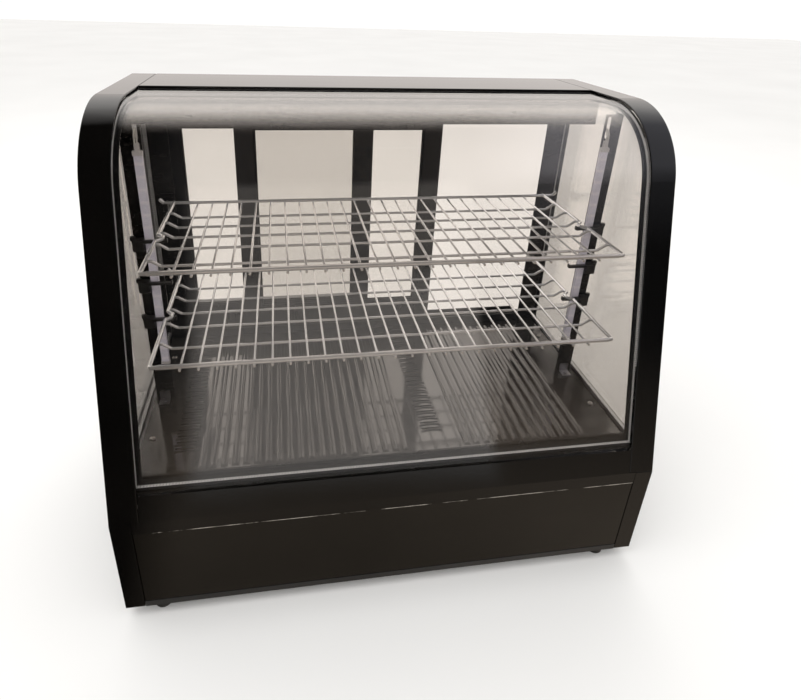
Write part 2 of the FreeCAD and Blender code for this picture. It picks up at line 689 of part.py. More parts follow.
def door_pull(y, pull_x):
    """Recessed cup pressed into the door's stile."""
    half_w, half_h = PULL_W / 2 - CLOSE, PULL_H / 2 - CLOSE
    return shell_box(pull_x - half_w, pull_x + half_w, y + DOOR_T - PULL_D + CLOSE, y + DOOR_T,
                     PULL_Z - half_h, PULL_Z + half_h, PULL_WALL, "+y")


# ---------------------------------------------------------------- uprights, lights and shelves
def upright():
    """Right front upright: an angle with its flange outwards, standing on the deck."""
    x1 = UPRIGHT_X + UPRIGHT_W
    wall = 1.5
    low = DECK_Z + 0.2
    angle = fuse(box(UPRIGHT_X, x1, UPRIGHT_Y, UPRIGHT_Y + wall, low, UPRIGHT_TOP),
                 box(x1 - wall, x1, UPRIGHT_Y + wall, UPRIGHT_Y + UPRIGHT_D, low, UPRIGHT_TOP))
    holes = [box(x1 - 9.5, x1 - 5.5, UPRIGHT_Y, UPRIGHT_Y + wall, z - 14.0, z - 6.0) for z in clip_heights()]
    slot_x, half, low_z, high_z = UPRIGHT_X + 6.0, 2.6, LED_Z[1] + 20.0, LED_Z[1] + 44.0
    holes.append(box(slot_x - half, slot_x + half, UPRIGHT_Y, UPRIGHT_Y + wall, low_z, high_z))
    for z in (low_z, high_z):
        holes.append(cyl(slot_x, UPRIGHT_Y, z, half, wall, Y_AXIS))
    return cut(angle, *holes)


def clip_heights():
    """The two shelves, and a spare pair of clips between them."""
    return [SHELF_Z[0], SPARE_CLIP_Z, SHELF_Z[1]]


def upright_foot():
    """Angle and screw that hold the right upright down to the deck."""
    x0 = UPRIGHT_X + 6
    y1 = UPRIGHT_Y - 0.2
    foot = fuse(box(x0, x0 + 14, y1 - 14, y1, DECK_Z, DECK_Z + 1.5),
                box(x0, x0 + 14, y1 - 1.5, y1, DECK_Z + 1.5, DECK_Z + 14))
    return fuse(foot, cyl(x0 + 7, y1 - 8, DECK_Z + 1.5, 3.2, 1.8))


def led_strip():
    """Light bar along the inner edge of the upright's front face."""
    x0 = UPRIGHT_X
    lens = box(x0, x0 + LED_W, UPRIGHT_Y - LED_T, UPRIGHT_Y - CLOSE, LED_Z[0], LED_Z[1])
    return lens.makeFillet(1.2, [e for e in lens.Edges if abs(e.Length - (LED_Z[1] - LED_Z[0])) < 1e-6
                                 and e.CenterOfMass.y < UPRIGHT_Y - 1])


def led_ends():
    """Lower cap, upper clamp and plug of the right light bar."""
    x0, x1 = UPRIGHT_X - 0.6, UPRIGHT_X + LED_W + 0.8
    back = UPRIGHT_Y - CLOSE
    front = UPRIGHT_Y - LED_T - 0.6
    top = LED_Z[1]
    cap = box(x0, x1, front, back, LED_Z[0] - 4.0, LED_Z[0] - CLOSE)
    clamp = box(x0, x1, front, back, top + CLOSE, top + 6.0)
    plug = box(x0 + 3.0, x1 - 3.0, front + 1.2, back, top + 6.0, top + 15.0)
    return [cap, fuse(clamp, plug)]


def shelf_clip(z):
    """Right front clip: a block with a horn on the upright, and a thin arm under the shelf's side rod."""
    rest = z - SIDE_ROD_R - CLOSE
    back = UPRIGHT_Y - CLOSE
    x0, x1 = UPRIGHT_X + LED_W + 1.2, UPRIGHT_X + UPRIGHT_W + 1.0
    reach = SHELF_HALF_X - SHELF_KINK - 4.0
    block = box(x0, x1, back - 8.0, back, rest - 16.0, rest + 1.0)
    horn = box(x1 - 4.0, x1 + 2.2, back - 6.0, back - 1.0, rest - 2.0, rest + 4.0)
    arm = box(reach, x0, back - 11.0, back - 5.5, rest - 3.5, rest)
    toe = box(reach - 2.0, reach, back - 11.0, back - 5.5, rest - 3.5, rest + 2.0)
    shoulder = box(x0, x0 + 5.0, back - 11.0, back - 8.0, rest - 9.0, rest)
    return fuse(block, horn, arm, toe, shoulder)


def rear_rest(z):
    """Right rear rest: an arm from the post to the end of the shelf's rear rod."""
    rest = z - SIDE_ROD_R - CLOSE
    x0, x1 = POST_INNER_X + 4, POST_INNER_X + 10
    front, back = SHELF_REAR_Y - 7, TRACK_Y - CLOSE
    arm = box(x0, x1, front, back, rest - 8, rest)
    lip = box(x0, x1, front, front + 3, rest, rest + 3)
    plate = box(x0 - 2, x1 + 10, back - SHEET, back, rest - 20, rest + 6)
    return fuse(arm, lip, plate)


def shelf_frame(z, front_y):
    """Front rod, kinked side rods and hooked rear rod, welded together."""
    k = SHELF_HALF_X - SHELF_KINK
    y1, y2, y3, y4 = KINK_Y
    corner = 7.0
    front = rod([(-SHELF_HALF_X + corner, front_y, z), (SHELF_HALF_X - corner, front_y, z)], FRONT_ROD_R)
    pieces = [front]
    for s in (-1, 1):
        pieces.append(rod([(s * (SHELF_HALF_X - corner - 1), front_y, z),
                           (s * SHELF_HALF_X, front_y, z),
                           (s * SHELF_HALF_X, y1, z), (s * k, y2, z), (s * k, y3, z),
                           (s * SHELF_HALF_X, y4, z), (s * SHELF_HALF_X, SHELF_REAR_Y + 3, z)],
                          SIDE_ROD_R, 3.0))
    hook = 6.0
    pieces.append(rod([(-SHELF_TIP_X - 3, SHELF_REAR_Y, z + hook), (-SHELF_TIP_X + 3, SHELF_REAR_Y, z),
                       (SHELF_TIP_X - 3, SHELF_REAR_Y, z), (SHELF_TIP_X + 3, SHELF_REAR_Y, z + hook)],
                      SIDE_ROD_R, 5.0))
    return fuse(*pieces)


def shelf_grid(z, front_y):
    """Cross wires, bent up at their ends to the side rods, under the long wires."""
    wire_z = z - FRONT_ROD_R - WIRE_R + WELD
    cross_z = wire_z - WIRE_R - CROSS_R + WELD
    pieces = []
    for y in CROSS_Y:
        at_kink = KINK_Y[0] - SIDE_ROD_R < y < KINK_Y[3] + SIDE_ROD_R
        end = SHELF_HALF_X - (SHELF_KINK - 1 if at_kink else 0) - SIDE_ROD_R + WELD
        flat = end - 15.0
        pieces.append(rod([(-end, y, z), (-end + 4, y, z), (-flat, y, cross_z), (flat, y, cross_z),
                           (end - 4, y, z), (end, y, z)], CROSS_R, 3.0))
    half = (WIRE_COUNT - 1) / 2
    for i in range(WIRE_COUNT):
        x = (i - half) * WIRE_PITCH
        pieces.append(rod([(x, front_y - 3.5, wire_z), (x, SHELF_REAR_Y + 3.5, wire_z)], WIRE_R))
    return fuse(*pieces)


# ---------------------------------------------------------------- heater, fan and electrics
def heater():
    """Two hairpin heating elements on stand-off brackets under the deck."""
    x0, x1 = HEATER_ENDS
    z, bend = HEATER_Z, 4 * HEATER_R
    return [rod([(x0, y, z), (x1, y, z), (x1, y + HEATER_SPREAD, z), (x0, y + HEATER_SPREAD, z)],
                HEATER_R, bend) for y in HEATER_Y]


def heater_brackets():
    """Steel saddles that carry the elements from the floor."""
    margin, leg, foot_h = 10.0, 6.0, 16.0
    out = []
    for y in HEATER_Y:
        low_y, high_y = y - margin, y + HEATER_SPREAD + margin
        for x in SADDLE_X:
            x0, x1 = x - SADDLE_W / 2, x + SADDLE_W / 2
            plate = box(x0, x1, low_y, high_y, SHEET, HEATER_Z + leg)
            window = box(x0, x1, low_y + leg, high_y - leg, foot_h, HEATER_Z - 12)
            holes = [cyl(x0, leg_y, HEATER_Z, HEATER_R + CLOSE, SADDLE_W, X_AXIS)
                     for leg_y in (y, y + HEATER_SPREAD)]
            out.append(cut(plate, window, *holes))
    return out


def fan_shroud():
    """Square fan frame on the floor, with struts under the motor."""
    h = FAN_SIZE / 2
    frame = box(FAN_X - h, FAN_X + h, FAN_Y - h, FAN_Y + h, SHEET, SHEET + FAN_T)
    ring = cyl(FAN_X, FAN_Y, SHEET, FAN_RING_R, FAN_T)
    reach = FAN_RING_R + 0.5
    struts = [box(FAN_X - reach, FAN_X + reach, FAN_Y - STRUT, FAN_Y + STRUT, SHEET, SHEET + STRUT),
              box(FAN_X - STRUT, FAN_X + STRUT, FAN_Y - reach, FAN_Y + reach, SHEET, SHEET + STRUT)]
    bars = fuse(*struts).cut(cyl(FAN_X, FAN_Y, SHEET, MOTOR_R, STRUT))
    return fuse(frame.cut(ring), bars)


def fan_motor():
    """Motor body between the struts, with the shaft that the impeller turns on."""
    body = cyl(FAN_X, FAN_Y, SHEET, MOTOR_R, MOTOR_L)
    return fuse(body, cyl(FAN_X, FAN_Y, SHEET + MOTOR_L, SHAFT_R, FAN_SHAFT_L))


def fan_impeller():
    """Cup-shaped hub with seven slanted blades."""
    z0 = SHEET + MOTOR_L + 1.0
    bore = cyl(FAN_X, FAN_Y, z0, SHAFT_R + RUNNING, FAN_SHAFT_L - 0.5)
    hub = cut(cyl(FAN_X, FAN_Y, z0, HUB_R, HUB_H), bore)
    blades = []
    for i in range(BLADES):
        blade = box(HUB_R - 1.5, BLADE_R, -0.9, 0.9, -6.5, 6.5)
        blade.rotate(vec(0, 0, 0), X_AXIS, BLADE_PITCH)
        blade.translate(vec(FAN_X, FAN_Y, z0 + HUB_H / 2))
        blade.rotate(vec(FAN_X, FAN_Y, 0), Z_AXIS, i * 360.0 / BLADES)
        blades.append(blade)
    return fuse(hub, *blades)


def terminal_block():
    """Porcelain-style block with a row of wells and its screws."""
    body = box(TERMINAL_X, TERMINAL_X + TERMINAL_COUNT * TERMINAL_PITCH,
               TERMINAL_Y, TERMINAL_Y + TERMINAL_D, SHEET, SHEET + TERMINAL_H)
    return cut(body, *in_wells(3.5, TERMINAL_WELL))


def in_wells(radius, height):
    """An upright cylinder in each of the terminal block's wells."""
    y, z = TERMINAL_Y + TERMINAL_D / 2, SHEET + TERMINAL_H - TERMINAL_WELL
    return [cyl(TERMINAL_X + (i + 0.5) * TERMINAL_PITCH, y, z, radius, height)
            for i in range(TERMINAL_COUNT)]


def terminal_screws():
    return in_wells(3.0, TERMINAL_WELL - 4)


def led_driver():
    """Sealed power supply for the light bars, with mounting ears."""
    (x0, x1), (y0, y1) = DRIVER_X, DRIVER_Y
    ear, inset = 10.0, 5.0
    body = box(x0, x1, y0, y1, SHEET, SHEET + DRIVER_H)
    ears = [box(a, b, y0 + inset, y1 - inset, SHEET, 2 * SHEET) for a, b in ((x0 - ear, x0), (x1, x1 + ear))]
    return fuse(body, *ears)


def thermostat():
    """Thermostat body behind the rear panel, its shaft through the panel and its sensing bulb."""
    half_w, half_h = 22.0, 18.0
    inner, front = DEPTH - SHEET - 36.0, DEPTH - SHEET - CLOSE
    body = box(KNOB_X - half_w, KNOB_X + half_w, inner, front, KNOB_Z - half_h, KNOB_Z + half_h)
    shaft = cyl(KNOB_X, front, KNOB_Z, SHAFT_R, DEPTH + KNOB_GAP + KNOB_BORE - front, Y_AXIS)
    return fuse(body, shaft)


def knob():
    """Fluted control knob with a raised pointer."""
    y0, skirt_h, flute_count, flute_r = DEPTH + KNOB_GAP, 4.0, 12, 2.0
    grip_y, grip_l, flute_at = y0 + skirt_h, KNOB_L - skirt_h, KNOB_R - 2.2
    skirt = cyl(KNOB_X, y0, KNOB_Z, KNOB_R, skirt_h, Y_AXIS)
    grip = cyl(KNOB_X, grip_y, KNOB_Z, KNOB_R - 3.5, grip_l, Y_AXIS)
    flutes = []
    for i in range(flute_count):
        a = 2 * math.pi * (i + 0.5) / flute_count
        flutes.append(cyl(KNOB_X + flute_at * math.cos(a), grip_y, KNOB_Z + flute_at * math.sin(a),
                          flute_r, grip_l, Y_AXIS))
    half_w, tip = 0.9, KNOB_R - 0.4
    pointer = box(KNOB_X - half_w, KNOB_X + half_w, grip_y, y0 + KNOB_L - 0.4, KNOB_Z + 9.0, KNOB_Z + tip)
    bore = cyl(KNOB_X, y0, KNOB_Z, SHAFT_R + RUNNING, KNOB_BORE, Y_AXIS)
    return cut(fuse(skirt, cut(grip, *flutes), pointer), bore)


def switch_body(x):
    """Rocker switch housing: bezel outside the panel, body and terminals behind it."""
    w, h = SWITCH_W / 2, SWITCH_H / 2
    edge, proud, deep, tab = 2.0, 1.8, 24.0, 8.0

    def block(grow, y0, y1):
        return box(x - w - grow, x + w + grow, y0, y1, SWITCH_Z - h - grow, SWITCH_Z + h + grow)

    bezel = block(edge, DEPTH, DEPTH + proud)
    body = block(-CLOSE, DEPTH - deep, DEPTH)
    well = block(-edge, DEPTH - 11, DEPTH + proud)
    pivot = cyl(x - w + 0.8, ROCKER_AXIS_Y, SWITCH_Z, PIVOT_R + RUNNING, 2 * w - 1.6, X_AXIS)
    tabs = [box(x - 3, x + 3, DEPTH - deep - tab, DEPTH - deep, z - 0.4, z + 0.4)
            for z in (SWITCH_Z - 7, SWITCH_Z, SWITCH_Z + 7)]
    return fuse(cut(fuse(bezel, body), well, pivot), *tabs)


def rocker(x):
    """Rocker button on its pivot pins: a shallow vee front, tilted to its off side at rest."""
    w, h = SWITCH_W / 2 - 2.4, SWITCH_H / 2 - 2.9
    front = ROCKER_AXIS_Y + 5.2
    outline = [(ROCKER_AXIS_Y - 5, -h * 0.45), (ROCKER_AXIS_Y + 1, -h), (front + 0.8, -h), (front - 1.2, 0),
               (front + 0.8, h), (ROCKER_AXIS_Y + 1, h), (ROCKER_AXIS_Y - 5, h * 0.45)]
    button = extrude_x([(y, SWITCH_Z + z) for y, z in outline], x - w, x + w)
    button.rotate(vec(x, ROCKER_AXIS_Y, SWITCH_Z), X_AXIS, -ROCKER_TILT)
    return fuse(button, cyl(x - w - 1.4, ROCKER_AXIS_Y, SWITCH_Z, PIVOT_R, 2 * w + 2.8, X_AXIS))


def pilot_lamp():
    """Small domed lamp beside the knob."""
    length, rim_h = 14.0, 1.2
    body = cyl(LAMP_X, DEPTH - length, KNOB_Z, LAMP_R - CLOSE, length, Y_AXIS)
    rim = cyl(LAMP_X, DEPTH, KNOB_Z, LAMP_R + 1.5, rim_h, Y_AXIS)
    ball = Part.makeSphere(LAMP_R, vec(LAMP_X, DEPTH + rim_h, KNOB_Z))
    dome = ball.common(cyl(LAMP_X, DEPTH + rim_h, KNOB_Z, 2 * LAMP_R, LAMP_R, Y_AXIS))
    return fuse(body, rim, dome)


def cable_gland():
    """Strain-relief gland for the supply cable: body, collar and domed nut round a plain bore."""
    def along(radius, y0, length):
        return cyl(GLAND_X, y0, GLAND_Z, radius, length, Y_AXIS)
    inside = DEPTH - SHEET
    nut = hexagon(0, 0, 0, GLAND_NUT_R, GLAND_NUT_H)
    nut.rotate(vec(0, 0, 0), X_AXIS, -90)
    nut.translate(vec(GLAND_X, DEPTH, GLAND_Z))
    dome = Part.makeCone(9.5, 6.5, 9.0, vec(GLAND_X, DEPTH + GLAND_NUT_H, GLAND_Z), Y_AXIS)
    lock = along(GLAND_NUT_R, inside - GLAND_LOCK_H, GLAND_LOCK_H)
    thread = along(GLAND_THREAD_R, inside - 2 * GLAND_LOCK_H, SHEET + 2 * GLAND_LOCK_H)
    return fuse(nut, dome, thread, lock).cut(along(GLAND_BORE_R, DEPTH - 20, 40.0))


# ---------------------------------------------------------------- write every node
def both_sides(name, shapes):
    """Writes a right-hand piece and its mirror image as two nodes."""
    save(name + "_right", *shapes)
    save(name + "_left", *[mirror(s) for s in shapes])


def main():
    save("base_floor", base_floor())
    both_sides("base_side", [base_side()])
    save("deck_bearers", deck_bearer(), mirror(deck_bearer()))
    save("front_access_panel", front_panel())
    save("front_rail", front_rail())
    save("rear_panel", rear_panel())
    save("rear_sill", rear_sill())
    save("feet", *feet())
    save("foot_screws", *foot_screws())
    save("deck_plate", deck())
    save("panel_screws", *deck_screws(), *rear_screws())

    both_sides("side_frame", [side_frame()])
    both_sides("side_glass", side_panes())
    save("side_spacers", side_spacer(), mirror(side_spacer()))
    save("front_glass_outer", front_glass_outer())
    save("front_glass_inner", front_glass_inner())
    save("front_spacer", front_spacer())
    save("front_glass_border", front_frit())
    save("glass_channel", glass_channel())
    save("top_seal", top_seal())
    save("top_panel", top_panel())
    save("header_cover", header_cover())

    save("rear_posts", rear_post(), mirror(rear_post()))
    save("door_track_top", track(HEADER_Z - SHEET, HEADER_Z, TRACK_TOP_LIP, HEADER_Z - SHEET))
    save("door_track_bottom", track(DECK_Z, DECK_Z + SHEET, DECK_Z + SHEET, TRACK_BOTTOM_LIP))

    doors = (("left", -DOOR_CLOSED_X, DOOR_1_Y, PULL_IN),
             ("right", DOOR_2_LEFT_X, DOOR_2_Y, DOOR_W - PULL_IN))
    for side, left, y, pull in doors:
        save("door_frame_" + side, door_frame(left, y, left + pull))
        save("door_glass_" + side, door_glass(left, y))
        save("door_pull_" + side, door_pull(y, left + pull))

    both_sides("front_upright", [upright()])
    both_sides("light_bar", [led_strip()])
    save("light_bar_ends", *led_ends(), *[mirror(s) for s in led_ends()])
    save("upright_feet", upright_foot(), mirror(upright_foot()))
    clips = [shelf_clip(z) for z in clip_heights()]
    save("shelf_clips_front", *clips, *[mirror(s) for s in clips])
    rests = [rear_rest(z) for z in SHELF_Z]
    save("shelf_rests_rear", *rests, *[mirror(s) for s in rests])
    for name, z, front_y in zip(("lower", "upper"), SHELF_Z, SHELF_FRONT_Y):
        save("shelf_frame_" + name, shelf_frame(z, front_y))
        save("shelf_grid_" + name, shelf_grid(z, front_y))

    save("heating_elements", *heater())
    save("heater_brackets", *heater_brackets())
    save("fan_shroud", fan_shroud())
    save("fan_motor", fan_motor())
    save("fan_impeller", fan_impeller())
    save("terminal_block", terminal_block(), *terminal_screws())
    save("led_driver", led_driver())
    save("thermostat", thermostat())
    save("thermostat_knob", knob())
    save("switch_bodies", *[switch_body(x) for x in SWITCH_X])
    save("heat_rocker", rocker(SWITCH_X[0]))
    save("light_rocker", rocker(SWITCH_X[1]))
    save("pilot_lamp", pilot_lamp())
    save("cable_gland", cable_gland())


main()
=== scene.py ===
"""Looks for the heated food display case: materials, small detail pieces, studio and camera.

All sizes are in metres. The front faces -Y and the case stands on z = 0.
"""

import json
import math

import bmesh
import bpy
from mathutils import Euler, Matrix, Vector


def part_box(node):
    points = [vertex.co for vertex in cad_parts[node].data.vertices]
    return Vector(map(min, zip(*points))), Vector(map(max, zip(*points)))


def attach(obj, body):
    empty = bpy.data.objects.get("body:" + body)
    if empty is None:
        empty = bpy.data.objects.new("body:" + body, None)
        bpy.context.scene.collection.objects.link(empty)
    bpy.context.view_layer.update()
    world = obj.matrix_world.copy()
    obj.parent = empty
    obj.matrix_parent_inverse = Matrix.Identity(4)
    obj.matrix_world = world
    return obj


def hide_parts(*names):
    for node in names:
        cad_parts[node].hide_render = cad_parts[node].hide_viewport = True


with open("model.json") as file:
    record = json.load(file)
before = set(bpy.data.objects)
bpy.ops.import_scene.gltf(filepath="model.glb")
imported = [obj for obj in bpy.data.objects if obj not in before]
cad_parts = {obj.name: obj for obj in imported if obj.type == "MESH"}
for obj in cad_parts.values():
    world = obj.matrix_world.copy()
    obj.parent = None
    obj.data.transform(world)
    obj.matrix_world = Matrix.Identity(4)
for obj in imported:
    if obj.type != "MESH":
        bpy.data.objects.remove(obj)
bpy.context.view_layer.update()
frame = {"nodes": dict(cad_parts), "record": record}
nodes = frame["nodes"]

# ---------------------------------------------------------------- sizes and places
# the perforated bar inside the double glazing
LEAN = math.radians(14.6)                                   # slope of the front and of its spacer legs
SPACER_SIDE_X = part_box("front_spacer")[1].x - 0.004         # beyond this x the bar runs up the side
SPACER_MIDDLE_Z = 0.3                                       # between the lower bar and the upper one
HOLE_PITCH = 0.0036

# the access panel's upper fold, which carries a painted highlight, and the light bars' diodes
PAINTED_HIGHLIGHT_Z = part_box("front_access_panel")[1].z - 0.0008
DIODE_PITCH = 0.0165

# pan-head screws
HEAD_R, HEAD_H, RECESS = 0.0039, 0.0022, 0.0017
LIFT = 0.00002                                              # keeps a head or a tick off its sheet
SHANK_R, SHANK_L, TIP_R, TIP_L = 0.0019, 0.0110, 0.0012, 0.0016
DECK_TOP_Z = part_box("panel_screws")[1].z - HEAD_H
BACK_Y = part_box("rear_panel")[1].y
DECK_FRONT_SCREWS = [(x, -0.1615) for x in (-0.236, 0.0, 0.236)]
DECK_SIDE_SCREWS = [(side * 0.313, y) for side in (-1, 1) for y in (-0.0835, 0.0985)]
REAR_SCREWS = [(side * 0.310, z) for side in (-1, 1) for z in (0.038, 0.158)]

# rubber beads round the doors' glass
GLASS_IN_FRAME = 0.0071                                     # how far the glass runs on behind the bead
BEAD_W, BEAD_LOW, BEAD_HIGH = 0.0028, 0.0021, 0.0042        # width, and the y of its two faces from mid glass

# twin leads from each light bar through its upright: (y, z) along the route
LEAD_X, LEAD_GAP, LEAD_R = 0.3027, 0.0028, 0.0010
LEAD_ROUTE = [(-0.0046, 0.5565), (-0.0060, 0.5640), (-0.0060, 0.5700), (0.0040, 0.5720)]

# raised ticks round the thermostat's knob
TICKS, TICKS_PER_QUARTER, TICK_STEP = 16, 5, 18.0
TICK_CLEAR, TICK_LONG, TICK_SHORT = 0.0035, 0.0038, 0.0022  # gap to the knob, and the two lengths
TICK_HALF_W, TICK_H, TICK_TAPER = 0.00035, 0.00022, 0.8

# rounded edges: radius, and the nodes that have it
SOFT_EDGES = {
    0.0009: ["side_frame_left", "side_frame_right", "base_side_left", "base_side_right", "top_panel"],
    0.0006: ["front_access_panel", "door_frame_left", "door_frame_right", "rear_posts",
             "switch_bodies", "thermostat_knob", "heat_rocker", "light_rocker"],
    0.0005: ["deck_plate"],
    0.0004: ["front_upright_left", "front_upright_right", "shelf_clips_front", "shelf_rests_rear",
             "light_bar_ends", "door_track_top", "door_track_bottom", "door_pull_left", "door_pull_right",
             "header_cover", "feet", "cable_gland"],
}
SHARP_ANGLE = math.radians(40.0)
WELD_GAP = 0.00001

# studio
FLOOR_REACH = 14.0
WORLD_STRENGTH = 1.05

# camera
SENSOR_W = 36.0
LENS = 25.04106
CAMERA_PLACE = (-0.13304, -0.69030, 0.72518)
CAMERA_TURN = (66.42513, -1.82537, -8.62158)
CAMERA_SHIFT = (0.04063, -0.13733)


# ---------------------------------------------------------------- node graphs
class Graph:
    """Builds one material's (or the world's) node tree from short calls."""

    def __init__(self, tree):
        self.tree = tree
        self.tree.nodes.clear()

    def add(self, kind, inputs=None, out=0, **settings):
        node = self.tree.nodes.new("ShaderNode" + kind)
        for key, value in settings.items():
            setattr(node, key, value)
        for key, value in (inputs or {}).items():
            self.put(node, key, value)
        return node.outputs[out] if isinstance(out, (int, str)) else node

    def put(self, node, key, value):
        socket = node.inputs[key]
        if isinstance(value, bpy.types.NodeSocket):
            self.tree.links.new(value, socket)
        elif socket.type == "RGBA" and len(value) == 3:
            socket.default_value = (*value, 1.0)
        else:
            socket.default_value = value

    def coords(self, scale=(1, 1, 1)):
        source = self.add("TexCoord", out="Object")
        return self.add("Mapping", {"Vector": source, "Scale": scale})

    def axes(self, vector):
        """The x, y and z of a vector."""
        return list(self.add("SeparateXYZ", {0: vector}, out=None).outputs)

    def noise(self, scale, detail=3.0, rough=0.5, stretch=(1, 1, 1)):
        return self.add("TexNoise", {"Vector": self.coords(stretch), "Scale": scale,
                                     "Detail": detail, "Roughness": rough})

    def spread(self, value, low, high, to_low=0.0, to_high=1.0):
        return self.add("MapRange", {"Value": value, "From Min": low, "From Max": high,
                                     "To Min": to_low, "To Max": to_high})

    def math(self, op, a, b=0.0):
        return self.add("Math", {0: a, 1: b}, operation=op)

    def product(self, first, *others):
        for other in others:
            first = self.math("MULTIPLY", first, other)
        return first

    def mix(self, factor, a, b):
        node = self.tree.nodes.new("ShaderNodeMix")
        node.data_type = "RGBA"
        for key, value in ((0, factor), (6, a), (7, b)):
            self.put(node, key, value)
        return node.outputs[2]

    def bump(self, height, distance, strength=1.0):
        return self.add("Bump", {"Height": height, "Distance": distance, "Strength": strength})


def material(name, make):
    made = bpy.data.materials.new(name)
    made.use_nodes = True
    graph = Graph(made.node_tree)
    shader = make(graph)
    out = made.node_tree.nodes.new("ShaderNodeOutputMaterial")
    made.node_tree.links.new(shader, out.inputs["Surface"])
    return made


def principled(graph, **inputs):
    names = {"color": "Base Color", "rough": "Roughness", "metal": "Metallic", "normal": "Normal",
             "ior": "IOR", "coat": "Coat Weight", "emit": "Emission Color", "glow": "Emission Strength",
             "through": "Transmission Weight"}
    return graph.add("BsdfPrincipled", {names[key]: value for key, value in inputs.items()})


# ---------------------------------------------------------------- materials
def gloss_paint(dark, light, rough, ior=1.42):
    """Powder coat: slow colour drift, orange peel, fine dust, and small changes of gloss."""
    def make(g):
        drift = g.noise(6.0, 3.0)
        dust = g.spread(g.noise(1400.0, 2.0), 0.68, 0.80, 0.0, 0.35)
        color = g.mix(g.spread(drift, 0.35, 0.7), dark, light)
        color = g.mix(dust, color, (0.09, 0.085, 0.08))
        smear = g.noise(14.0, 5.0, 0.6, (1.0, 1.0, 3.0))
        roughness = g.spread(smear, 0.3, 0.75, rough * 0.7, rough * 1.6)
        peel = g.bump(g.noise(320.0, 2.0), 0.00006, 0.35)
        return principled(g, color=color, rough=roughness, normal=peel, ior=ior)
    return make


def panel_with_painted_highlight(g):
    """Gloss black sheet with a painted highlight: pale colour in short dashes along its upper fold stands for
    light caught by the edge.
    """
    z = g.axes(g.add("TexCoord", out="Object"))[2]
    dashes = g.spread(g.noise(18.0, 5.0, 0.7), 0.44, 0.56)
    # painted highlight: pale dashes along the upper fold stand for light caught by the edge
    painted_highlight = g.product(g.math("GREATER_THAN", z, PAINTED_HIGHLIGHT_Z), dashes)
    drift = g.noise(6.0, 3.0)
    color = g.mix(g.spread(drift, 0.35, 0.7), (0.0030, 0.0025, 0.0018), (0.0055, 0.0046, 0.0034))
    color = g.mix(painted_highlight, color, (0.55, 0.50, 0.44))
    smear = g.noise(14.0, 5.0, 0.6, (1.0, 1.0, 3.0))
    roughness = g.spread(smear, 0.3, 0.75, 0.07, 0.16)
    peel = g.bump(g.noise(320.0, 2.0), 0.00006, 0.35)
    return principled(g, color=color, rough=roughness, normal=peel, ior=1.46)


def deck_paint(g):
    """Baked enamel on pressed steel: brushed streaks along the ribs, faint heat haze and specks."""
    streak = g.noise(9.0, 6.0, 0.6, (14.0, 0.6, 1.0))
    haze = g.noise(5.0, 4.0)
    color = g.mix(g.spread(streak, 0.3, 0.7), (0.020, 0.019, 0.018), (0.032, 0.031, 0.030))
    color = g.mix(g.spread(haze, 0.5, 0.8, 0.0, 0.5), color, (0.038, 0.034, 0.030))
    specks = g.spread(g.noise(1100.0, 2.0), 0.70, 0.80, 0.0, 0.5)
    color = g.mix(specks, color, (0.2, 0.19, 0.18))
    roughness = g.spread(streak, 0.2, 0.8, 0.06, 0.12)
    ripple = g.bump(g.noise(60.0, 3.0, 0.5, (2.0, 0.4, 1.0)), 0.0002, 0.03)
    return principled(g, color=color, rough=roughness, normal=ripple, ior=1.85)


def chrome(g):
    """Bright plate over drawn wire: fine pits and dull patches."""
    dull = g.noise(45.0, 4.0, 0.6)
    pits = g.spread(g.noise(1800.0, 2.0), 0.66, 0.78, 0.0, 0.5)
    color = g.mix(pits, (0.94, 0.97, 1.0), (0.42, 0.42, 0.42))
    roughness = g.spread(dull, 0.35, 0.75, 0.07, 0.18)
    drawn = g.bump(g.noise(500.0, 2.0), 0.00004, 0.3)
    return principled(g, color=color, rough=roughness, metal=0.72, normal=drawn)


def clear_pane(tint):
    """Thin clear pane: tinted straight-through light, a Fresnel reflection and faint wipe marks."""
    glass_ior, dust_share = 1.46, 0.012

    def make(g):
        back = g.add("NewGeometry", out="Backfacing")
        fresnel = g.add("Fresnel", {"IOR": g.spread(back, 0.0, 1.0, glass_ior, 1.0 / glass_ior)})
        wipes = g.noise(7.0, 6.0, 0.65, (1.0, 1.0, 2.5))
        dust = g.spread(g.noise(900.0, 2.0), 0.66, 0.80, 0.0, dust_share)
        film = g.math("ADD", g.spread(wipes, 0.5, 0.85, 0.0, dust_share * 0.3), dust)
        clear = g.add("BsdfTransparent", {"Color": tint})
        haze = g.add("BsdfDiffuse", {"Color": (0.75, 0.74, 0.72)})
        body = g.add("MixShader", {0: film, 1: clear, 2: haze})
        roughness = g.spread(wipes, 0.4, 0.8, 0.0, 0.02)
        shine = g.add("BsdfGlossy", {"Color": (1, 1, 1), "Roughness": roughness})
        return g.add("MixShader", {0: fresnel, 1: body, 2: shine})
    return make


